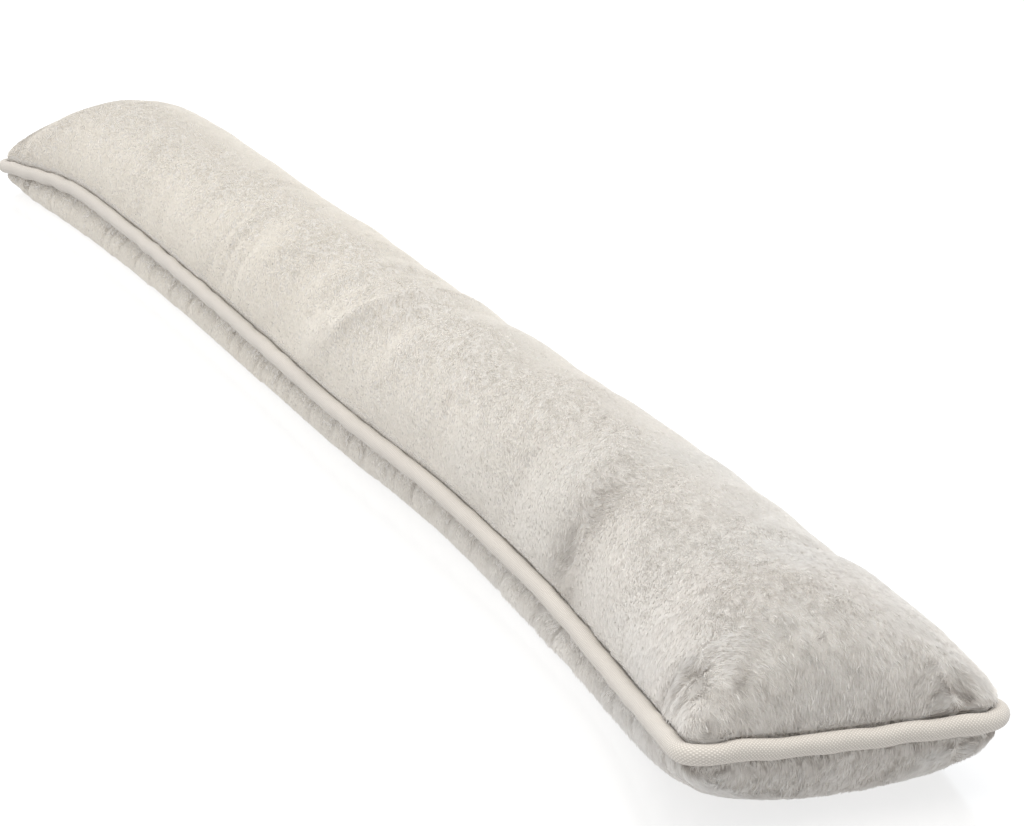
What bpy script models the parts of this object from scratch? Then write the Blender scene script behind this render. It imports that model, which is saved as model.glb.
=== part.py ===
"""Draught excluder: a long, slim plush bolster with a piped seam, lying on its underside.

A top panel and a bottom panel of plush meet in one seam that runs round the whole outline. A
covered cord, the piping, is caught in that seam. Packed with filling, the sides draw in to a
nearly round section, while the four corners keep the full width of the flat panels.

Frame: X runs along the length, Y across it, Z up. The bolster rests on Z = 0 and the origin
lies under the middle of its box. Everything is in metres.
"""
import bpy
from math import cos, hypot, pi, radians, sin, sqrt
from mathutils import Vector

MM = 0.001

# ---------------------------------------------------------------- driving sizes
LENGTH = 0.850                  # from the cord's outer edge at one end to the other
CORD_DIAMETER = 6.0 * MM        # the filled piping, cloth included
CORNER_RADIUS = 13 * MM         # of the cord's centre line in plan
FIT_GAP = 0.3 * MM              # air between the cord and the panels
FACET_ALLOWANCE = 0.3 * MM      # keeps the flat facets of cord and groove clear of each other
LIP_ANGLE = radians(108)        # from straight out round to the edge of a panel
BASE_SINK = 10 * MM             # how far the underside would sag below the floor it lies on
END_SAG = 1.2 * MM              # the seam hangs this much lower in the middle of an end
TOP_BULGE = 1.2 * MM            # how far the top panel's flanks swell past an even curve

# How full the panels are across and along. A power of 2 is an ellipse, more is boxier.
TOP_POWER = 1.8
BASE_POWER = 2.3
TOP_END_POWER = 9.5
BASE_END_POWER = 11
BULGE_END_POWER = 12

# How finely the loft is divided
SIDE_STATIONS = 54
CORNER_STATIONS = 5
PANEL_STEPS = 14
GROOVE_STEPS = 6

# One row for each cross-section, from the far end to the near end, in millimetres. `along` is
# its share of the length, `half_width` runs from the centre line to the cord, `centre` is how
# far the bolster wanders off its axis, `seam` is the height of the cord, `crown` is how far the
# top panel stands above it, and `belly` is how far the underside's flanks swell.
SECTIONS = (
    # along, half_width, centre, seam, crown, belly
    (0.000, 50.0, 0.0, 10.5, 44.0, 9.0),
    (0.100, 40.0, 4.5, 16.5, 38.5, 11.0),
    (0.200, 37.5, 7.0, 16.0, 38.5, 9.5),
    (0.320, 35.5, 7.0, 15.5, 40.5, 8.0),
    (0.440, 34.5, 6.5, 15.0, 43.5, 7.5),
    (0.560, 34.5, 6.0, 15.0, 44.0, 5.5),
    (0.680, 35.0, 9.5, 15.0, 43.0, 5.0),
    (0.800, 37.5, 10.5, 13.5, 44.5, 9.0),
    (0.900, 41.5, 6.5, 14.0, 44.5, 6.5),
    (1.000, 50.0, -1.5, 25.0, 48.0, 1.5),
)
ALONG, HALF_WIDTH, CENTRE, SEAM, CROWN, BELLY = range(6)

# ---------------------------------------------------------------- sizes worked out from those
CORD_RADIUS = CORD_DIAMETER / 2
GROOVE_RADIUS = CORD_RADIUS + FIT_GAP + FACET_ALLOWANCE
HALF_RUN = LENGTH / 2 - CORD_RADIUS                      # half the cord's loop, end to end

PLUSH = ((0.68, 0.63, 0.58, 1.0), 0.95)                  # colour and roughness
PIPING_CLOTH = ((0.70, 0.63, 0.59, 1.0), 0.85)


# ---------------------------------------------------------------- the run of the seam
def section(x, column):
    """A column of SECTIONS at a place along X, smoothly curved between its rows."""
    share = (x + HALF_RUN) / (2 * HALF_RUN)
    last = len(SECTIONS) - 1
    row = max(i for i in range(last) if SECTIONS[i][ALONG] <= max(share, 0.0))
    before, start, stop, after = (
        SECTIONS[min(max(i, 0), last)] for i in (row - 1, row, row + 1, row + 2))
    run = stop[ALONG] - start[ALONG]
    t = (share - start[ALONG]) / run
    slope_in = (stop[column] - before[column]) / (stop[ALONG] - before[ALONG]) * run
    slope_out = (after[column] - start[column]) / (after[ALONG] - start[ALONG]) * run
    value = ((2 * t**3 - 3 * t**2 + 1) * start[column] + (t**3 - 2 * t**2 + t) * slope_in
             + (3 * t**2 - 2 * t**3) * stop[column] + (t**3 - t**2) * slope_out)
    return value * MM


def stations():
    """Distances along X of every cross-section, closest together round the corners."""
    corner = [CORNER_RADIUS * (1 - cos(pi / 2 * k / CORNER_STATIONS))
              for k in range(CORNER_STATIONS)]
    straight = HALF_RUN - CORNER_RADIUS
    sides = [straight * (2 * k / SIDE_STATIONS - 1) for k in range(SIDE_STATIONS + 1)]
    return [d - HALF_RUN for d in corner] + sides + [HALF_RUN - d for d in reversed(corner)]


def corner_inset(x):
    """How much a rounded corner takes off the half width at x."""
    past = max(0.0, abs(x) - (HALF_RUN - CORNER_RADIUS))
    return CORNER_RADIUS - sqrt(max(0.0, CORNER_RADIUS**2 - past**2))


def seam_point(x, side):
    """The cord's centre at x on one long side, with side -1 or +1."""
    half = section(x, HALF_WIDTH) - corner_inset(x)
    return Vector((x, section(x, CENTRE) + side * half, section(x, SEAM)))


def end_point(x, across):
    """The cord's centre on an end, with `across` from -1 to +1."""
    point = seam_point(x, -1).lerp(seam_point(x, 1), (across + 1) / 2)
    point.z -= END_SAG * (1 - across**2)
    return point


def across_steps():
    """Places across a panel from -1 to +1, closer together toward the seam."""
    return [sin(pi / 2 * (2 * k / PANEL_STEPS - 1)) for k in range(PANEL_STEPS + 1)]


def seam_loop(xs):
    """The cord's centres once round: the -Y side, near end, +Y side and far end."""
    inner = across_steps()[1:-1]
    loop = [seam_point(x, -1) for x in xs]
    loop += [end_point(xs[-1], v) for v in inner]
    loop += [seam_point(x, 1) for x in reversed(xs)]
    loop += [end_point(xs[0], v) for v in reversed(inner)]
    return loop


def outward(loop):
    """The level direction pointing out of the outline at each point of the loop."""
    directions = []
    for i, point in enumerate(loop):
        run_in = (point - loop[i - 1]).normalized()
        run_out = (loop[(i + 1) % len(loop)] - point).normalized()
        run = run_in + run_out
        directions.append(Vector((run.y, -run.x, 0)) / hypot(run.x, run.y))
    return directions


# ---------------------------------------------------------------- the filled cushion
def swell(x, across, power, end_power):
    """How full a panel stands at a place, from 0 at the seam to 1 at its crown."""
    along = min(1.0, abs(x) / HALF_RUN)
    return sqrt(max(0.0, 1 - abs(across)**power) * max(0.0, 1 - along**end_power))


def flank(x, across):
    """How far a flank is pushed out sideways, as a share of its bulge. Signed like `across`."""
    fade = 1 - min(1.0, abs(x) / HALF_RUN)**BULGE_END_POWER
    return 2 * across * sqrt(max(0.0, 1 - across**2)) * fade


def top_point(point, x, across):
    rise = section(x, CROWN) - GROOVE_RADIUS
    point.y += TOP_BULGE * flank(x, across)
    point.z += rise * swell(x, across, TOP_POWER, TOP_END_POWER)


def base_point(point, x, across):
    fall = section(x, SEAM) - GROOVE_RADIUS + BASE_SINK
    point.y += section(x, BELLY) * flank(x, across)
    point.z -= fall * swell(x, across, BASE_POWER, BASE_END_POWER)


def panel_rows(lips, xs, shape):
    """Grid of points of one panel: a row for each station, seam edge to seam edge."""
    count = len(xs)
    inner = PANEL_STEPS - 1
    near_end = lips[count:count + inner]
    far_end = lips[-inner:][::-1]
    rows = []
    for i, x in enumerate(xs):
        left = lips[i]
        right = lips[2 * count + inner - 1 - i]
        if i == 0:
            row = far_end
        elif i == count - 1:
            row = near_end
        else:
            row = []
            for v in across_steps()[1:-1]:
                point = left.lerp(right, (v + 1) / 2)
                shape(point, x, v)
                row.append(point)
        rows.append([left, *row, right])
    return rows


def cushion_mesh(xs, loop):
    """Both panels and the groove between them, lofted as one closed skin."""
    turn = 2 * (pi - LIP_ANGLE) / GROOVE_STEPS
    rings = []
    for k in range(GROOVE_STEPS + 1):
        angle = LIP_ANGLE + turn * k
        lift = Vector((0, 0, GROOVE_RADIUS * sin(angle)))
        rings.append([point + away * GROOVE_RADIUS * cos(angle) + lift
                      for point, away in zip(loop, outward(loop))])

    numbers = {}

    def number(point):
        return numbers.setdefault(tuple(point), len(numbers))

    faces = []
    for upper, lower in zip(rings, rings[1:]):
        for i in range(len(loop)):
            j = (i + 1) % len(loop)
            faces.append([number(p) for p in (upper[i], lower[i], lower[j], upper[j])])
    for lips, shape, step in ((rings[0], top_point, 1), (rings[-1], base_point, -1)):
        rows = panel_rows(lips, xs, shape)
        for row, following in zip(rows, rows[1:]):
            for k in range(PANEL_STEPS):
                corners = (row[k], following[k], following[k + 1], row[k + 1])
                faces.append([number(p) for p in corners[::step]])
    mesh = bpy.data.meshes.new("cushion")
    mesh.from_pydata(list(numbers), [], faces)
    return mesh


def level_underside(cushion, cutters):
    """Cut the sagging underside off at the floor, so that the bolster lies flat on it."""
    depth = 4 * BASE_SINK
    bpy.ops.mesh.primitive_cube_add(size=1, location=(0, 0, -depth / 2))
    block = bpy.context.object
    block.name = "underside_cutter"
    block.scale = (1.2 * LENGTH, LENGTH / 2, depth)
    block.hide_render = True
    block.display_type = "WIRE"
    move_to(block, cutters)
    cut = cushion.modifiers.new("level underside", "BOOLEAN")
    cut.operation = "DIFFERENCE"
    cut.solver = "EXACT"
    cut.object = block


# ---------------------------------------------------------------- the piping
def piping_curve(loop):
    """The covered cord: a round tube along the closed seam."""
    curve = bpy.data.curves.new("piping", "CURVE")
    curve.dimensions = "3D"
    curve.bevel_depth = CORD_RADIUS
    curve.bevel_resolution = 2
    spline = curve.splines.new("POLY")
    spline.points.add(len(loop) - 1)
    for knot, point in zip(spline.points, loop):
        knot.co = (*point, 1)
    spline.use_cyclic_u = True
    return curve


# ---------------------------------------------------------------- materials and assembly
def material(name, look):
    """A plain cloth finish: a colour, its roughness, and no metal."""
    colour, roughness = look
    finish = bpy.data.materials.new(name)
    finish.use_nodes = True
    shader = finish.node_tree.nodes["Principled BSDF"]
    shader.inputs["Base Color"].default_value = colour
    shader.inputs["Roughness"].default_value = roughness
    shader.inputs["Metallic"].default_value = 0.0
    finish.diffuse_color = colour
    return finish


def move_to(thing, collection):
    for holder in list(thing.users_collection):
        holder.objects.unlink(thing)
    collection.objects.link(thing)


def add_piece(name, data, finish, collection):
    data.materials.append(finish)
    piece = bpy.data.objects.new(name, data)
    collection.objects.link(piece)
    return piece


def build():
    for old in list(bpy.data.objects):
        bpy.data.objects.remove(old, do_unlink=True)
    collections = []
    for name in ("draught_excluder", "cutters"):
        collection = bpy.data.collections.new(name)
        bpy.context.scene.collection.children.link(collection)
        collections.append(collection)
    parts, cutters = collections

    xs = stations()
    loop = seam_loop(xs)
    cushion = add_piece("cushion", cushion_mesh(xs, loop), material("plush", PLUSH), parts)
    cushion.data.shade_smooth()
    cushion.data.set_sharp_from_angle(angle=radians(50))
    level_underside(cushion, cutters)
    add_piece("piping", piping_curve(loop), material("piping cloth", PIPING_CLOTH), parts)


build()
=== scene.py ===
# %% [markdown]
# # A plush draught excluder with a piped seam
#
# The real thing is a long, slim bolster that lies along the foot of a door. A maker cuts two
# strips of plush, sews them right sides together with a covered cord caught in the seam,
# turns the bag out and packs it with fibre. This lesson dresses the plain solids of that
# bolster: a soft skin with its wrinkles, a pile of short fibres that covers it, and the cord
# in its woven cloth. The solids come in as a frame, and every place is worked out from them.

# %% Load the frame
from math import cos, radians, sin, tau

import bmesh
import bpy
import numpy as np
from mathutils import Matrix, Vector
from mathutils.bvhtree import BVHTree
from mathutils.kdtree import KDTree


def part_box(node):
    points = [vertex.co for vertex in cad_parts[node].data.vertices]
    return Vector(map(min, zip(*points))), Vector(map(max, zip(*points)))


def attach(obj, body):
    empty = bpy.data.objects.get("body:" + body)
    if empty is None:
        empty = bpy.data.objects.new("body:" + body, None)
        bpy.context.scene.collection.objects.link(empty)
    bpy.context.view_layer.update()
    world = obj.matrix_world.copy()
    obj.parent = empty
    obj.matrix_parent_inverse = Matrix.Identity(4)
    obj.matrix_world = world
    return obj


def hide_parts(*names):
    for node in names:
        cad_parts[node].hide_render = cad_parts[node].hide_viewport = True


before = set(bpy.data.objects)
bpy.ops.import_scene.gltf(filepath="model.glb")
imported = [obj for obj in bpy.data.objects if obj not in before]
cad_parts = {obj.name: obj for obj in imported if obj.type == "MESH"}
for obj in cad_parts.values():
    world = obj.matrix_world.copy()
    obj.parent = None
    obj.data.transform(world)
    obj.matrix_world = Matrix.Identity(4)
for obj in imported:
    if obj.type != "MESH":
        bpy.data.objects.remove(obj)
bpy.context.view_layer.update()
MM = 0.001
low, high = (np.array(corner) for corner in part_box("cushion"))
print("cushion", (high - low).round(4), "m")

# %% [markdown]
# ## Camera
#
# A long lens, set low and almost in line with the bolster, makes the near end large and
# lets the length run away to the far corner. The camera is set first, because it decides
# how fine the detail has to be. The lens is given as the width of the sensor and a focal
# length, and the place as a target, a distance and two angles.

# %% Camera
CAMERA_TARGET = Vector((0.118, 0.013, 0.030))
CAMERA_DISTANCE = 1.232
CAMERA_AZIMUTH = radians(69.40)
CAMERA_ELEVATION = radians(16.34)
CAMERA_ROLL = radians(0.60)
FOCAL_LENGTH = 124.1            # mm
SENSOR_WIDTH = 36               # mm


def place_camera():
    back = Vector((sin(CAMERA_AZIMUTH) * cos(CAMERA_ELEVATION),
                   -cos(CAMERA_AZIMUTH) * cos(CAMERA_ELEVATION),
                   sin(CAMERA_ELEVATION)))
    right = Vector((cos(CAMERA_AZIMUTH), sin(CAMERA_AZIMUTH), 0))
    turn = Matrix((right, back.cross(right), back)).transposed()
    data = bpy.data.cameras.new("camera")
    data.sensor_width = SENSOR_WIDTH
    data.lens = FOCAL_LENGTH
    camera = bpy.data.objects.new("camera", data)
    bpy.context.scene.collection.objects.link(camera)
    camera.matrix_world = (Matrix.Translation(CAMERA_TARGET + back * CAMERA_DISTANCE)
                           @ turn.to_4x4() @ Matrix.Rotation(CAMERA_ROLL, 4, "Z"))
    bpy.context.scene.camera = camera
    return camera


print("camera at", place_camera().matrix_world.translation.to_tuple(3))

# %% [markdown]
# ## Small tools
#
# Colours are written as the sRGB codes a maker would read off a shade card, and turned to
# the linear values that Blender's shaders want. One function adds any shader node, sets it
# and wires it. One more builds a mesh from arrays, because a pile has far too many faces to
# add one by one.

# %% Colour, node and mesh tools
def colour(code):
    """Linear RGBA of an sRGB hex code."""
    shares = [int(code[i:i + 2], 16) / 255 for i in (0, 2, 4)]
    linear = [s / 12.92 if s <= 0.04045 else ((s + 0.055) / 1.055)**2.4 for s in shares]
    return (*linear, 1.0)


def add_node(tree, kind, inputs=(), **settings):
    """Add a node, set its properties, and fill its inputs with values or links."""
    node = tree.nodes.new(kind)
    for name, value in settings.items():
        setattr(node, name, value)
    for socket, value in dict(inputs).items():
        if isinstance(value, bpy.types.NodeSocket):
            tree.links.new(value, node.inputs[socket])
        else:
            node.inputs[socket].default_value = value
    return node


def new_material(name):
    """An empty material: its tree, its surface shader and nothing else."""
    finish = bpy.data.materials.new(name)
    finish.use_nodes = True
    tree = finish.node_tree
    tree.nodes.clear()
    shader = add_node(tree, "ShaderNodeBsdfPrincipled")
    add_node(tree, "ShaderNodeOutputMaterial", {"Surface": shader.outputs["BSDF"]})
    return finish, tree, shader


def mesh_object(name, points, faces, finish):
    """An object from arrays of points and of faces that all have the same number of corners."""
    mesh = bpy.data.meshes.new(name)
    mesh.vertices.add(len(points))
    mesh.vertices.foreach_set("co", np.asarray(points, np.float32).ravel())
    count, corners = faces.shape
    mesh.loops.add(faces.size)
    mesh.loops.foreach_set("vertex_index", faces.ravel().astype(np.int32))
    mesh.polygons.add(count)
    mesh.polygons.foreach_set("loop_start", np.arange(0, faces.size, corners, dtype=np.int32))
    mesh.update(calc_edges=True)
    mesh.materials.append(finish)
    mesh.shade_smooth()
    thing = bpy.data.objects.new(name, mesh)
    bpy.context.scene.collection.objects.link(thing)
    return thing


def unit(vectors):
    return vectors / np.maximum(np.linalg.norm(vectors, axis=-1, keepdims=True), 1e-12)


def ripple(points, wavelength, seed, waves=9):
    """A smooth, irregular field from about -1 to 1: a sum of plane waves in all directions."""
    rng = np.random.default_rng(seed)
    directions = unit(rng.normal(size=(waves, 3)))
    pitches = tau / (wavelength * rng.uniform(0.7, 1.5, waves))
    phases = rng.uniform(0, tau, waves)
    field = np.sin((points @ directions.T) * pitches + phases).sum(axis=1)
    return field / np.sqrt(waves)


# %% [markdown]
# ## The run of the seam
#
# Everything on a piped cushion is set out from its seam: the cord lies along it, the panels
# crease against it, and the pile grows shorter towards it. The frame holds the cord as a
# plain tube. Moving each of the tube's points inwards by its radius collapses it on to its
# centre line, which is then walked from point to point and evened out.

# %% Find the cord's centre line
CORD_RADIUS = 3.0 * MM
SEAM_STEP = 1.2 * MM            # spacing of the evened points
SAME_POINT = 0.01 * MM          # points this close are one point
COLLAPSED = 0.8 * MM            # the tube's points, drawn in to its middle, lie within this


def centre_line(node):
    tube = bmesh.new()
    tube.from_mesh(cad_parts[node].data)
    bmesh.ops.remove_doubles(tube, verts=tube.verts, dist=SAME_POINT)
    tube.normal_update()
    for vertex in tube.verts:
        vertex.co -= vertex.normal * CORD_RADIUS
    bmesh.ops.remove_doubles(tube, verts=tube.verts, dist=COLLAPSED)
    tree = KDTree(len(tube.verts))
    for i, vertex in enumerate(tube.verts):
        tree.insert(vertex.co, i)
    tree.balance()
    points = [v.co.copy() for v in tube.verts]
    tube.free()
    walk = [max(range(len(points)), key=lambda i: points[i].x)]
    left = set(range(len(points))) - set(walk)
    while left:
        here = points[walk[-1]]
        near = [i for _, i, _ in tree.find_n(here, 12) if i in left]
        if not near:
            break
        walk.append(near[0])
        left.remove(near[0])
    return np.array([points[i][:] for i in walk])


def evened(points, step, passes=6):
    """The closed line through the points, resampled at an even step and softly smoothed."""
    closed = np.vstack([points, points[:1]])
    run = np.concatenate([[0], np.cumsum(np.linalg.norm(np.diff(closed, axis=0), axis=1))])
    marks = np.arange(0, run[-1], run[-1] / round(run[-1] / step))
    line = np.stack([np.interp(marks, run, closed[:, k]) for k in range(3)], axis=1)
    for _ in range(passes):
        line = (np.roll(line, 1, 0) + 2 * line + np.roll(line, -1, 0)) / 4
    return line


seam = evened(centre_line("piping"), SEAM_STEP)
seam_length = np.linalg.norm(seam - np.roll(seam, 1, 0), axis=1).sum()
print("seam", len(seam), "points,", round(seam_length, 3), "m long")

# %% [markdown]
# The frame's corners are plain round bends. The real cord turns more sharply there, because
# the filling doesn't reach into a corner, and at one corner it hangs a little lower. The
# same function moves the seam and, further on, the cloth beside it, so they stay together.

# %% Corners
CORNER_CENTRE = np.array((409.0, 35.8)) * MM
SQUARENESS = 3.2                # 2 leaves a corner round, and a large number makes it square
CORNER_DROP = 1.4 * MM
DROP_ALONG = (0.35, 0.42)       # the drop grows from nothing to full between these places,
DROP_ACROSS = (0.0, 0.046)      # along the bolster, across it
DROP_UP = (0.0, 0.012)          # and up from the floor
SEAM_WAVER = 0.2 * MM           # how far the sewing strays up and down
SEAM_WAVE = 16 * MM


def smooth_step(value, start, stop):
    t = np.clip((value - start) / (stop - start), 0, 1)
    return t * t * (3 - 2 * t)


def settled(points):
    """Square the two corners of the left side in plan, and let the near right one hang."""
    plan = points[:, :2]
    past = np.maximum(np.abs(plan) - CORNER_CENTRE, 0)
    round_size = np.hypot(past[:, 0], past[:, 1])
    square_size = (past ** SQUARENESS).sum(axis=1) ** (1 / SQUARENESS)
    left = (square_size > 0) & (points[:, 1] < 0)
    stretch = np.where(left, round_size / np.maximum(square_size, 1e-9), 1)
    plan = plan + np.sign(plan) * past * (stretch - 1)[:, None]
    drop = (CORNER_DROP * smooth_step(points[:, 0], *DROP_ALONG)
            * smooth_step(points[:, 1], *DROP_ACROSS) * smooth_step(points[:, 2], *DROP_UP))
    return np.column_stack([plan, points[:, 2] - drop])


seam = settled(seam)
seam[:, 2] += SEAM_WAVER * ripple(seam, SEAM_WAVE, seed=12)

# %% [markdown]
# ## The filled skin
#
# Under the pile is the knitted backing that holds the filling. It starts as a copy of the
# frame's cushion, which is faceted and reaches as far out as the tips of the pile. An even
# remesh gives it the same grid all over, and rounds of smoothing that keep its size take the
# facets out. Then it is drawn in by the depth of the pile, and the panel below the seam is
# filled out a little. Against the cord it is pushed back to the cord's own surface, which is
# what presses the sharp crease into a piped seam. A cloth simulation with pressure is the
# other way to make it. It isn't used here, because it could carry the outline and the seam
# away from the places that the frame gives them.

# %% Skin: remesh, smooth, draw in, press the seam
PILE_HEIGHT = 1.1 * MM          # how far the brushed pile stands off the backing
SKIN_GRID = 2.1 * MM
SMOOTH_ROUNDS = 16
SHRINK, SWELL = 0.60, -0.62     # each round draws in and swells again, and so keeps the size
CREASE_WIDTH = 9 * MM           # away from the cord, pile and smoothing come in over this
FLANK_FILL = 0.9 * MM           # the filling settles and rounds the panel below the seam
SEAM_GRIP = 4 * MM              # this close to the cord the skin is hardly smoothed
BASE_EDGE = 2 * MM              # the skin is drawn in fully from this height up
PRESS_GAP = 0.15 * MM           # between the skin and the cord's surface


def applied(thing):
    """A new mesh with the object's modifiers applied."""
    depsgraph = bpy.context.evaluated_depsgraph_get()
    return bpy.data.meshes.new_from_object(thing.evaluated_get(depsgraph))


def get_points(mesh):
    points = np.empty(3 * len(mesh.vertices), np.float32)
    mesh.vertices.foreach_get("co", points)
    return points.reshape(-1, 3).astype(float)


def set_points(mesh, points):
    mesh.vertices.foreach_set("co", points.astype(np.float32).ravel())
    mesh.update()


def get_normals(mesh):
    normals = np.empty(3 * len(mesh.vertices), np.float32)
    mesh.vertex_normals.foreach_get("vector", normals)
    return normals.reshape(-1, 3).astype(float)


def kd_tree(points):
    tree = KDTree(len(points))
    for i, point in enumerate(points):
        tree.insert(point, i)
    tree.balance()
    return tree


seam_tree = kd_tree(seam)


def to_seam(points):
    """For each point, its distance to the cord's centre line and the nearest place on it."""
    found = [seam_tree.find(point) for point in points]
    return np.array([f[2] for f in found]), np.array([f[1] for f in found])


def fluff(points):
    """How much the pile stands up: little where wear has laid it flat, fully at the near end."""
    x = points[:, 0]
    return 0.32 + 0.28 * smooth_step(x, 0.05, 0.28) + 0.40 * smooth_step(x, 0.30, 0.41)


def pile_room(points, distance):
    """How tall the pile can stand: it is short beside the cord and close to the floor."""
    beside = 0.25 + 0.75 * smooth_step(distance, CORD_RADIUS, CREASE_WIDTH)
    low = 0.35 + 0.65 * smooth_step(points[:, 2], 0, 5 * MM)
    return fluff(points) * beside * low


def smoothed(mesh, points, strength):
    """Take the facets out without shrinking: every point moves in, then out again."""
    ends = np.empty(2 * len(mesh.edges), np.int32)
    mesh.edges.foreach_get("vertices", ends)
    one, other = ends.reshape(-1, 2).T
    here, there = np.concatenate([one, other]), np.concatenate([other, one])
    share = np.bincount(here, minlength=len(points))[:, None]
    for factor in (SHRINK, SWELL) * SMOOTH_ROUNDS:
        middle = np.stack([np.bincount(here, points[there, k], len(points))
                           for k in range(3)], axis=1) / share
        points = points + (middle - points) * (factor * strength)[:, None]
    return points


def on_cushion(points):
    """The nearest places on the frame's cushion."""
    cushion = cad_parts["cushion"]
    tree = BVHTree.FromObject(cushion, bpy.context.evaluated_depsgraph_get())
    return np.array([tree.find_nearest(point)[0] for point in points])


def make_skin():
    skin = bpy.data.objects.new("skin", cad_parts["cushion"].data.copy())
    bpy.context.scene.collection.objects.link(skin)
    remesh = skin.modifiers.new("even grid", "REMESH")
    remesh.mode = "VOXEL"
    remesh.voxel_size = SKIN_GRID
    mesh = applied(skin)
    skin.modifiers.clear()
    skin.data = mesh
    mesh.name = "skin"
    points = get_points(mesh)
    distance, _ = to_seam(settled(points))
    free = smooth_step(distance, SEAM_GRIP, CREASE_WIDTH)
    flat = 1 - smooth_step(points[:, 2], 0, BASE_EDGE)
    beside = distance < CREASE_WIDTH
    points[beside] = on_cushion(points[beside])
    points = smoothed(mesh, points, 0.1 + 0.9 * free)
    set_points(mesh, points)
    _, nearest = to_seam(points)
    under = smooth_step(seam[nearest][:, 2] - points[:, 2], 2 * MM, 8 * MM)
    depth = PILE_HEIGHT * pile_room(points, distance) - FLANK_FILL * under
    points -= get_normals(mesh) * (depth * (1 - flat))[:, None]
    points[:, 2] = np.maximum(points[:, 2], 0)
    set_points(mesh, settled(points))
    return skin


def press_seam(points):
    """Push points that lie inside the cord out to its surface."""
    distance, nearest = to_seam(points)
    centre = seam[nearest]
    reach = CORD_RADIUS + PRESS_GAP
    inside = distance < reach
    points[inside] = centre[inside] + unit(points[inside] - centre[inside]) * reach
    return points


skin = make_skin()
set_points(skin.data, press_seam(get_points(skin.data)))
print("skin", len(skin.data.polygons), "faces")

# %% [markdown]
# ## Wrinkles
#
# Loosely packed plush doesn't lie smooth. Where the filling is thin the top buckles into
# soft troughs that run across the bolster, with low ridges between some of them, and at the
# near corners it is pinched into dimples. Each one is listed with its own length, width,
# depth and slant, because even spacing is what makes cloth look false.

# %% Wrinkles across the top
TOP_EDGE = (18 * MM, 28 * MM)   # the wrinkles fade in between these heights
UNEVENNESS = 0.22 * MM          # of the packing, all over the top
UNEVEN_WAVE = 34 * MM
BEND = 0.6                      # a wrinkle isn't straight: this and the next two say how
BEND_WAVE = 1.7                 # far it snakes to the sides, in half widths, and how often
BEND_SHARE = 0.35
# One row for each: the place in millimetres along and across, the direction it runs in
# degrees from X, its half length and half width, and how deep it is. A ridge is negative.
TOP_WRINKLES = (
    # x, y, slant, half_length, half_width, depth
    (-396, -30, 60, 14, 5, 0.9),
    (-318, -16, 75, 22, 12, 0.6),
    (-255, -6, 80, 34, 13, 0.7),
    (-205, -20, 70, 18, 7, 0.6),
    (-148, 18, 84, 26, 7, 1.3),
    (-124, -16, 64, 13, 3.5, 0.6),
    (-109, -22, 60, 12, 3.5, 0.8),
    (-95, -25, 56, 9, 3, 0.7),
    (-74, 2, 78, 32, 16, -1.2),
    (-24, -14, 60, 26, 15, 1.6),
    (-10, 22, 88, 20, 8, 1.4),
    (0, -18, 30, 16, 6, 1.6),
    (18, 2, 62, 18, 7, 2.0),
    (13, -25, 12, 11, 3.5, -1.6),
    (33, -18, 34, 13, 3.8, -2.4),
    (46, -8, 50, 13, 3.8, -2.3),
    (56, 8, 74, 16, 4.2, -1.6),
    (56, -20, 36, 14, 7, 1.6),
    (72, -4, 66, 22, 8, 1.8),
    (112, 10, 84, 28, 14, -0.9),
    (146, -12, 74, 22, 10, 1.1),
    (182, 8, 86, 28, 14, -0.9),
    (218, -18, 70, 18, 9, 1.0),
    (266, -20, 62, 20, 9, 3.2),
    (300, 12, 84, 26, 12, -1.0),
    (342, 28, 88, 18, 6, 2.0),
    (372, -6, 78, 26, 13, -0.7),
    (385, -39, 20, 6, 3, 1.6),
    (395, -38, 70, 4, 3, 3.6),
    (403, -40, 110, 3.5, 2.5, 3.0),
    (409, -30, 150, 6, 3, 1.8),
    (416, -41, 40, 4, 3, -1.4),
    (417, 32, 20, 3, 2.5, 2.4),
)


def dent(points, row):
    """How strongly one wrinkle acts at each point, from 0 to 1, in plan."""
    x, y, slant, half_length, half_width, _ = row
    slant = radians(slant)
    away = points[:, :2] - np.array((x, y)) * MM
    along = away @ (cos(slant), sin(slant)) / (half_length * MM)
    across = away @ (-sin(slant), cos(slant)) / (half_width * MM)
    bend = BEND * np.sin(along * BEND_WAVE + x)
    return np.exp(-along**2 - (across + bend * BEND_SHARE)**2)


def wrinkle_top(points, normals):
    upper = smooth_step(points[:, 2], *TOP_EDGE)
    depth = sum(dent(points, row) * row[5] * MM for row in TOP_WRINKLES)
    uneven = UNEVENNESS * ripple(points, UNEVEN_WAVE, seed=3)
    return points - normals * ((depth + uneven) * upper)[:, None]


points = get_points(skin.data)
set_points(skin.data, wrinkle_top(points, get_normals(skin.data)))
print(len(TOP_WRINKLES), "wrinkles on top")

# %% [markdown]
# ## Puckers below the cord
#
# The bottom panel carries a little more cloth than the seam takes up, so it is gathered.
# Each pucker is a narrow trough that starts at the cord and fades out on the way down. They
# are strewn along the seam by a seeded draw, some deep and some hardly there.

# %% Puckers
PUCKER_PITCH = 17 * MM          # between one pucker and the next, on average
PUCKER_DEPTH = 3.0 * MM
PUCKER_WIDTH = 2.3 * MM
PUCKER_FALL = 9 * MM            # how far down the panel one reaches


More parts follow.
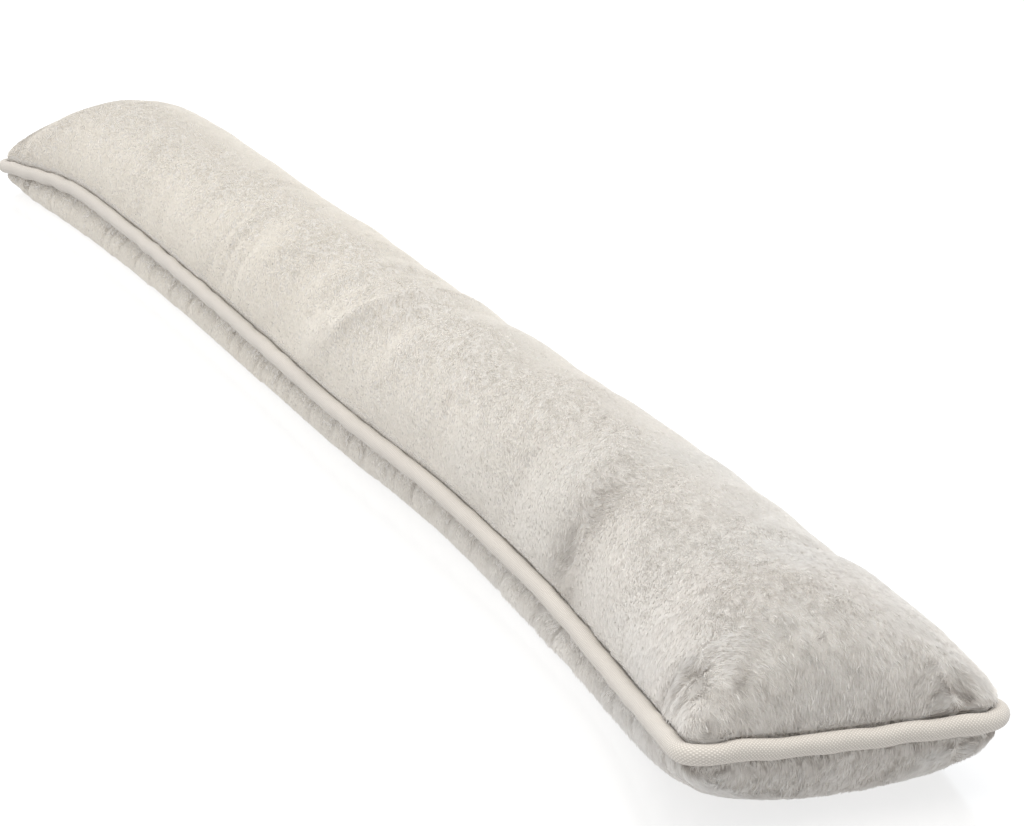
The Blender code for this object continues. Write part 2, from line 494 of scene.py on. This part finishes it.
def puckered(points):
    """How strongly the panel below the cord is gathered at each point, from 0 to about 1."""
    rng = np.random.default_rng(11)
    count = int(seam_length / PUCKER_PITCH)
    marks = (np.arange(count) + rng.uniform(-0.4, 0.4, count)) / count * seam_length
    strengths = rng.uniform(0.1, 1.0, count)
    distance, nearest = to_seam(points)
    place = nearest / len(seam) * seam_length
    below = points[:, 2] < seam[nearest][:, 2]
    fade = np.exp(-(distance / PUCKER_FALL)**2) * below * smooth_step(points[:, 2], 0, 3 * MM)
    trough = np.zeros(len(points))
    for mark, strength in zip(marks, strengths):
        trough += strength * np.exp(-((place - mark) / PUCKER_WIDTH)**2)
    return trough * fade


points = get_points(skin.data)
points -= get_normals(skin.data) * (PUCKER_DEPTH * puckered(points))[:, None]
set_points(skin.data, press_seam(points))
skin.data.shade_smooth()

# %% [markdown]
# ## Plush
#
# The cloth is a polyester plush: a knitted backing with short fibres standing in it, sheared
# and brushed one way. What it gives the eye is a soft, matt surface that is lighter where the
# tips catch the light and darker down between the fibres, with cloudy patches where a hand
# has brushed the nap. The darker roots are painted shade, and the cloudy patches are painted
# light and shade. Sheen stands for the glow of the fibre tips at grazing light. The creamier
# tone of the flat stretch is painted warm light and the brown of the partings is painted
# shade: they stand for the light on the real cloth, and not for its dye. Without them the
# dimples came out too pale.

# %% Plush material
PILE_TIP = "F1F1F0"            # the brushed tips
PILE_ROOT_SHADE = "E2DFDB"           # painted shade, down at the backing
PILE_WARM = "F1EDE9"           # painted light and shade of the cloudy patches
PILE_WARM_LIT = "F4F0E9"           # painted warm light, creamier along the flat stretch
PILE_DEEP = "958A80"           # down in a parting, where little light comes back out
CLOUD_SIZE = 45 * MM
LIGHT_THROUGH = 0.42            # the share of light that comes through a lock from behind


def plush_material():
    finish, tree, shader = new_material("polyester plush")
    along = add_node(tree, "ShaderNodeAttribute", attribute_name="along")
    shade = add_node(tree, "ShaderNodeAttribute", attribute_name="shade")
    place = add_node(tree, "ShaderNodeNewGeometry")
    # Painted light and shade: cloudy patches where the nap lies another way.
    cloud = add_node(tree, "ShaderNodeTexNoise", {"Vector": place.outputs["Position"],
                                                  "Scale": 1 / CLOUD_SIZE, "Detail": 3.0})
    tint = add_node(tree, "ShaderNodeMix", {"Factor": cloud.outputs["Fac"],
                                            6: colour(PILE_TIP), 7: colour(PILE_WARM)},
                    data_type="RGBA")
    length = add_node(tree, "ShaderNodeSeparateXYZ", {"Vector": place.outputs["Position"]})
    # Painted warm light, mixed in more the further along towards the far end.
    warm_light_share = add_node(tree, "ShaderNodeMapRange", {"Value": length.outputs["X"],
                                                 "From Min": 0.36, "From Max": -0.05})
    warm_lit_tone = add_node(tree, "ShaderNodeMix", {"Factor": warm_light_share.outputs["Result"],
                                               6: tint.outputs[2], 7: colour(PILE_WARM_LIT)},
                       data_type="RGBA")
    fibre = add_node(tree, "ShaderNodeMix", {"Factor": along.outputs["Fac"],
                                             6: colour(PILE_ROOT_SHADE), 7: warm_lit_tone.outputs[2]},
                     data_type="RGBA")
    # Painted shade: the lower the shade value, the more of the deep tone goes in.
    depth = add_node(tree, "ShaderNodeMapRange", {"Value": shade.outputs["Fac"],
                                                  "From Min": 1.0, "From Max": -7.0,
                                                  "To Min": 0.0, "To Max": 0.6})
    final = add_node(tree, "ShaderNodeMix", {"Factor": depth.outputs["Result"],
                                             6: fibre.outputs[2], 7: colour(PILE_DEEP)},
                     data_type="RGBA")
    tree.links.new(final.outputs[2], shader.inputs["Base Color"])
    shader.inputs["Roughness"].default_value = 0.9
    shader.inputs["IOR"].default_value = 1.5
    shader.inputs["Specular IOR Level"].default_value = 0.2
    shader.inputs["Sheen Weight"].default_value = 0.2
    shader.inputs["Sheen Roughness"].default_value = 0.5
    through = add_node(tree, "ShaderNodeBsdfTranslucent", {"Color": final.outputs[2]})
    both = add_node(tree, "ShaderNodeMixShader", {0: LIGHT_THROUGH, 1: shader.outputs["BSDF"],
                                                  2: through.outputs["BSDF"]})
    tree.links.new(both.outputs["Shader"], tree.nodes["Material Output"].inputs["Surface"])
    return finish


plush = plush_material()
skin.data.materials.clear()
skin.data.materials.append(plush)

# %% [markdown]
# ## Pile
#
# A real pile has millions of fibres, and they cling together in locks. Each lock is made
# here as one small tapering blade, rooted on the backing, rising from it and bending over
# with the nap. The nap is brushed towards the near end and falls down the flanks. All the
# blades are worked out together as arrays: root, middle and tip, a little random, and drawn
# towards one lock of their tuft. First come the roots, and the way the nap is brushed there.

# %% Where the pile is rooted
LOCKS = 390_000
LOCK_LENGTH = 3.8 * MM
LOCK_WIDTH = 0.44 * MM
TUFT_SIZE = 6                   # locks in a tuft
PILE_PIECES = ("pile_far_end", "pile_far_third", "pile_middle", "pile_near_third",
               "pile_near_end")
BARE_HEIGHT = 0.6 * MM          # the underside's pile is pressed flat below this


def roots_on(mesh, count, seed):
    """Evenly scattered places on a mesh, with their normals."""
    mesh.calc_loop_triangles()
    corners = np.empty(3 * len(mesh.loop_triangles), np.int32)
    mesh.loop_triangles.foreach_get("vertices", corners)
    corners = corners.reshape(-1, 3)
    points, normals = get_points(mesh), get_normals(mesh)
    a, b, c = (points[corners[:, k]] for k in range(3))
    area = np.linalg.norm(np.cross(b - a, c - a), axis=1) / 2
    area[(a[:, 2] < BARE_HEIGHT) & (b[:, 2] < BARE_HEIGHT)] = 0
    rng = np.random.default_rng(seed)
    pick = rng.choice(len(area), count, p=area / area.sum())
    s, t = rng.random((2, count))
    over = s + t > 1
    s[over], t[over] = 1 - s[over], 1 - t[over]
    weights = np.stack([1 - s - t, s, t], axis=1)[..., None]
    place = (points[corners[pick]] * weights).sum(axis=1)
    normal = unit((normals[corners[pick]] * weights).sum(axis=1))
    print("pile over", round(area.sum() * 1e4), "square cm")
    return place, normal


# Where the pile parts and fans out: x, y and the reach, in millimetres.
WHORLS = ((395, -37, 11), (404, -40, 8), (418, 31, 8), (268, -22, 16))


def nap_direction(place, normal):
    """The direction of the brushing along the surface: to the near end, and down the flanks."""
    distance, nearest = to_seam(place)
    under = smooth_step(seam[nearest][:, 2] - place[:, 2], -1 * MM, 2 * MM)[:, None]
    flow = (1 - under) * np.array((1.0, 0.0, -0.75)) + under * np.array((0.35, 0.0, -1.0))
    for x, y, reach in WHORLS:
        away = place - np.array((x, y, 0)) * MM
        away[:, 2] = 0
        far = np.linalg.norm(away, axis=1)
        flow = flow + unit(away) * (1.6 * np.exp(-(far / (reach * MM))**2))[:, None]
    flow = unit(flow - normal * (flow * normal).sum(axis=1)[:, None])
    side = np.cross(normal, flow)
    wander = (radians(15) * ripple(place, 40 * MM, seed=5)
              + radians(11) * ripple(place, 8 * MM, seed=6)) * (0.4 + 0.6 * fluff(place))
    return flow * np.cos(wander)[:, None] + side * np.sin(wander)[:, None]


def nearest_tuft(place, count, seed):
    """Number the tuft that each root belongs to, and return the tufts' places."""
    chosen = np.random.default_rng(seed).choice(len(place), count, replace=False)
    tree = kd_tree(place[chosen])
    return np.array([tree.find(p)[1] for p in place]), chosen


root, normal = roots_on(skin.data, LOCKS, seed=1)
nap = nap_direction(root, normal)

# %% [markdown]
# Now the locks grow. The pile is worn flat along most of the bolster and stands shaggy at
# the near end, so the blades roll and differ more there. Where the pile stands open, the
# blades are marked darker with painted shade.

# %% Grow the locks
FLOOR_GAP = 0.2 * MM
CORD_CLEARANCE = 10 * MM        # locks this near the cord lie along it, not over it
SWAY = 0.32                     # how far a lock strays from the nap, to the side
PULL = 0.32                     # how far tips are drawn together in a tuft
ROLL_FLAT, ROLL_SHAGGY = 0.14, 0.18
SHAGGY_FROM, SHAGGY_TO = 0.26, 0.39
# Tufts differ at random in tone; as the light ones can't grow lighter, this also paints shade
# over the shaggy near end.
TUFT_CONTRAST = 1.6             # between one shaggy tuft and the next
# Painted shade: how dark the puckers grow, and the crease by the cord at the near end.
PUCKER_SHADE = 2.5
CREASE_SHADE = 9.0              # along the cord at the near end
UPPER_FROM, UPPER_TO = 14 * MM, 20 * MM
# Painted shade, where the pile stands open, down in a deep trough and over the far end's top:
# x, y, reach (mm) and how dark.
PAINTED_SHADE_SPOTS = ((395, -37, 3.5, 7), (404, -40, 3, 6), (385, -39, 3, 4), (409, -30, 3, 4),
            (418, 31, 4, 6), (266, -20, 15, 3), (274, -32, 8, 2.5), (-409, -36, 8, 4),
            (-402, -14, 36, 1.6))


def painted_shade(root, distance):
    """How dark the painted shade is: in the partings and hollows, the puckers and the near
    crease.
    """
    dark = PUCKER_SHADE * puckered(root)
    upper = smooth_step(root[:, 2], UPPER_FROM, UPPER_TO)
    for x, y, reach, strength in PAINTED_SHADE_SPOTS:
        away = np.hypot(root[:, 0] - x * MM, root[:, 1] - y * MM)
        dark += strength * upper * np.exp(-(away / (reach * MM))**2)
    near_end = smooth_step(root[:, 0], 0.405, 0.418) * (0.7 + 0.5 * ripple(root, 12 * MM, seed=9))
    return dark + CREASE_SHADE * near_end * (1 - smooth_step(distance, CORD_RADIUS, 8 * MM))


def clear_of_cord(root, lean):
    """Turn the locks beside the cord so that they don't lie over it."""
    distance, nearest = to_seam(root)
    toward = unit(seam[nearest] - root)
    over = np.maximum((lean * toward).sum(axis=1), 0)
    near = 1 - smooth_step(distance, CORD_RADIUS, CORD_CLEARANCE)
    return unit(lean - toward * (over * near)[:, None])


def grow_locks(root, normal, nap, seed=2):
    """Middle and tip of every lock, how its blade lies across, and its tone less painted shade.
    """
    rng = np.random.default_rng(seed)
    count = len(root)
    distance, _ = to_seam(root)
    room = pile_room(root, distance)
    length = (LOCK_LENGTH * rng.uniform(0.75, 1.2, count) * np.sqrt(room))[:, None]
    side = np.cross(normal, nap)
    sway = rng.normal(0, SWAY, count)[:, None]
    lean = clear_of_cord(root, unit(nap + side * sway))
    rise = (PILE_HEIGHT * room * rng.uniform(0.6, 1.3, count))[:, None] * normal
    middle = root + 0.8 * rise + 0.45 * length * lean
    tip = root + rise + 0.95 * length * lean
    tuft, chosen = nearest_tuft(root, count // TUFT_SIZE, seed)
    pull = PULL * (room**2)[:, None]
    middle += (middle[chosen][tuft] - middle) * pull * 0.3
    tip += (tip[chosen][tuft] - tip) * pull
    middle[:, 2] = np.maximum(middle[:, 2], FLOOR_GAP)
    tip[:, 2] = np.maximum(tip[:, 2], FLOOR_GAP)
    shaggy = smooth_step(root[:, 0], SHAGGY_FROM, SHAGGY_TO)
    roll = (rng.normal(0, 1, count) * (ROLL_FLAT + ROLL_SHAGGY * shaggy))[:, None]
    blade = unit(np.cross(tip - root, normal) + normal * roll)
    tufts = rng.uniform(-TUFT_CONTRAST, TUFT_CONTRAST, len(chosen))[tuft] * shaggy
    uneven = tufts + rng.uniform(0, 1, count)
    return middle, tip, blade, uneven - painted_shade(root, distance)


middle, tip, blade, shade = grow_locks(root, normal, nap)
print(len(root), "locks")


# %% [markdown]
# The locks are joined into five pieces along the bolster, with as many locks in each, so
# that no piece is too large to handle.

# %% Turn the locks into meshes
def lock_mesh(name, keep):
    """One joined mesh of kite-shaped blades, each folded across its widest place."""
    count = int(keep.sum())
    half = blade[keep] * LOCK_WIDTH / 2
    points = np.stack([root[keep], middle[keep] + half, middle[keep] - half, tip[keep]], axis=1)
    first = np.arange(count)[:, None] * 4
    faces = np.concatenate([first + (0, 1, 2), first + (2, 1, 3)], axis=1)
    thing = mesh_object(name, points.reshape(-1, 3), faces.reshape(-1, 3), plush)
    mesh = thing.data
    along = mesh.attributes.new("along", "FLOAT", "POINT")
    along.data.foreach_set("value", np.tile((0.0, 0.6, 0.6, 1.0), count))
    tone = mesh.attributes.new("shade", "FLOAT", "POINT")
    tone.data.foreach_set("value", np.repeat(shade[keep], 4))
    return thing


edges = np.quantile(root[:, 0], np.linspace(0, 1, len(PILE_PIECES) + 1))
edges[-1] += 1
pile = []
for k, name in enumerate(PILE_PIECES):
    pile.append(lock_mesh(name, (root[:, 0] >= edges[k]) & (root[:, 0] < edges[k + 1])))
print([len(piece.data.polygons) for piece in pile], "triangles")

# %% [markdown]
# ## Piping
#
# The cord is covered with a strip of plain-woven cloth cut on the bias, at 45 degrees to
# its threads, so that it bends round the corners without pleating. The tube is swept along
# the seam with its own map: one direction runs along the cord and the other round it, both at
# their true size, and the weave is drawn in that map, turned by 45 degrees.

# %% Piping tube
CORD_SIDES = 18
CORD_UNEVENNESS = 0.03          # of its thickness, as a share
CORD_WAVE = 11 * MM


def make_piping(finish):
    run = unit(np.roll(seam, -1, 0) - np.roll(seam, 1, 0))
    out = unit(np.cross(run, (0, 0, 1)))
    up = np.cross(out, run)
    count = len(seam)
    around = np.arange(CORD_SIDES) / CORD_SIDES * tau
    uneven = 1 + CORD_UNEVENNESS * ripple(seam, CORD_WAVE, seed=8)
    ring = (np.cos(around)[None, :, None] * out[:, None]
            + np.sin(around)[None, :, None] * up[:, None])
    points = seam[:, None] + ring * (CORD_RADIUS * uneven)[:, None, None]
    here = np.arange(count)[:, None] * CORD_SIDES
    following = (np.arange(count)[:, None] + 1) % count * CORD_SIDES
    k = np.arange(CORD_SIDES)[None, :]
    turn = (k + 1) % CORD_SIDES
    faces = np.stack([here + k, following + k, following + turn, here + turn], axis=-1)
    thing = mesh_object("piping", points.reshape(-1, 3), faces.reshape(-1, 4), finish)
    place = np.arange(count)[:, None] + np.zeros((1, CORD_SIDES))
    span = seam_length / count
    u = np.stack([place, place + 1, place + 1, place], axis=-1) * span
    side = k + 0 * here
    v = np.stack([side, side, side + 1, side + 1], axis=-1)
    v = v / CORD_SIDES * tau * CORD_RADIUS
    weave = thing.data.uv_layers.new(name="weave")
    weave.data.foreach_set("uv", np.stack([u, v], axis=-1).astype(np.float32).ravel())
    return thing


# %% [markdown]
# ## Piping cloth
#
# A plain weave of fine cotton and polyester yarn. Threads go over and under by turns, which
# the eye reads as a tiny chequer of bumps. It is a little darker and warmer than the plush,
# and has no pile to soften its edge. The two bands of waves, crossed and multiplied, give the
# chequer of both the tone and the bump.

# %% Piping cloth material
THREAD_PITCH = 0.75 * MM
THREAD_HEIGHT = 0.15 * MM
WAVE_FACTOR = 20                # the wave node repeats every tau / 20 / Scale
THREAD_GAP = "B2ABA3"
THREAD_CROWN = "D9D3CB"


def piping_material():
    finish, tree, shader = new_material("bias-cut woven cloth")
    map_node = add_node(tree, "ShaderNodeUVMap", uv_map="weave")
    turned = add_node(tree, "ShaderNodeMapping", {"Vector": map_node.outputs["UV"],
                                                  "Rotation": (0, 0, radians(45))})
    waves = [add_node(tree, "ShaderNodeTexWave", {"Vector": turned.outputs["Vector"],
                                                  "Scale": tau / (WAVE_FACTOR * THREAD_PITCH),
                                                  "Distortion": 0.4, "Detail": 1.0},
                      bands_direction=direction) for direction in ("X", "Y")]
    chequer = add_node(tree, "ShaderNodeMath", {0: waves[0].outputs["Fac"],
                                                1: waves[1].outputs["Fac"]},
                       operation="MULTIPLY")
    tone = add_node(tree, "ShaderNodeMix", {"Factor": chequer.outputs["Value"],
                                            6: colour(THREAD_GAP), 7: colour(THREAD_CROWN)},
                    data_type="RGBA")
    raised = add_node(tree, "ShaderNodeBump", {"Height": chequer.outputs["Value"],
                                               "Distance": THREAD_HEIGHT, "Strength": 0.7})
    tree.links.new(tone.outputs[2], shader.inputs["Base Color"])
    tree.links.new(raised.outputs["Normal"], shader.inputs["Normal"])
    shader.inputs["Roughness"].default_value = 0.8
    shader.inputs["IOR"].default_value = 1.5
    shader.inputs["Sheen Weight"].default_value = 0.15
    return finish


piping = make_piping(piping_material())
print("piping", len(piping.data.polygons), "faces")

# %% [markdown]
# ## Floor and light
#
# The floor is a sheet of opal acrylic that is lit from below as well, as on a studio table. It
# gives the eye a white ground with hardly any shadow and a faint, soft reflection. Above it are
# one broad lamp and a weaker one on the bolster's long left side, in a bright surround.

# %% Floor and lights
FLOOR_GLOW = 0.72               # how brightly the sheet is lit from below
FLOOR_TONES = ("707070", "727272")
FLOOR_REACH = 6.0               # metres from the middle to an edge


def make_floor():
    finish, tree, shader = new_material("opal acrylic sheet")
    grain = add_node(tree, "ShaderNodeTexNoise", {"Scale": 40.0})
    tone = add_node(tree, "ShaderNodeMix", {"Factor": grain.outputs["Fac"],
                                            6: colour(FLOOR_TONES[0]),
                                            7: colour(FLOOR_TONES[1])},
                    data_type="RGBA")
    tree.links.new(tone.outputs[2], shader.inputs["Base Color"])
    shader.inputs["Roughness"].default_value = 0.16
    shader.inputs["IOR"].default_value = 1.45
    shader.inputs["Emission Color"].default_value = (1, 1, 1, 1)
    shader.inputs["Emission Strength"].default_value = FLOOR_GLOW
    corners = np.array(((-1, -1, 0), (1, -1, 0), (1, 1, 0), (-1, 1, 0))) * FLOOR_REACH
    floor = mesh_object("floor", corners, np.array([[0, 1, 2, 3]]), finish)


LAMP_TINT = "FFFAF2"
ROOM_TINT = "F7FBFF"
ROOM_BRIGHT, ROOM_DIM = 1.13, 0.84
TOWARD_CAMERA = (0.94, -0.34, 0.0)
LAMPS = (
    # name, place, size, power
    ("overhead", (0.4, 0.0, 1.8), (2.0, 1.6), 28.5),
    ("left", (0.1, -1.8, 1.1), (1.8, 1.2), 8),
)


def add_lamp(name, place, size, power):
    data = bpy.data.lights.new(name, "AREA")
    data.shape = "RECTANGLE"
    data.size, data.size_y = size
    data.energy = power
    data.color = colour(LAMP_TINT)[:3]
    lamp = bpy.data.objects.new(name, data)
    bpy.context.scene.collection.objects.link(lamp)
    lamp.location = place
    lamp.rotation_euler = (-Vector(place)).to_track_quat("-Z", "Y").to_euler()


def light_room():
    """A white backdrop in front of the camera, a dimmer room behind it, and the lamps."""
    world = bpy.data.worlds.new("studio")
    world.use_nodes = True
    tree = world.node_tree
    direction = add_node(tree, "ShaderNodeTexCoord")
    facing = add_node(tree, "ShaderNodeVectorMath", {0: direction.outputs["Generated"],
                                                     1: TOWARD_CAMERA},
                      operation="DOT_PRODUCT")
    strength = add_node(tree, "ShaderNodeMapRange", {"Value": facing.outputs["Value"],
                                                     "From Min": -0.1, "From Max": 0.7,
                                                     "To Min": ROOM_BRIGHT, "To Max": ROOM_DIM})
    background = tree.nodes["Background"]
    background.inputs["Color"].default_value = colour(ROOM_TINT)
    tree.links.new(strength.outputs["Result"], background.inputs["Strength"])
    bpy.context.scene.world = world
    for lamp in LAMPS:
        add_lamp(*lamp)
    bpy.context.scene.view_settings.view_transform = "Standard"


make_floor()
light_room()

# %% [markdown]
# ## Hand over
#
# Every piece rides on the one body, and the skin and the pile stand for the frame's cushion.

# %% Ride, replace and finish
for piece in (skin, *pile):
    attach(piece, "root")
    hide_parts("cushion")
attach(piping, "root")
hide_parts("piping")
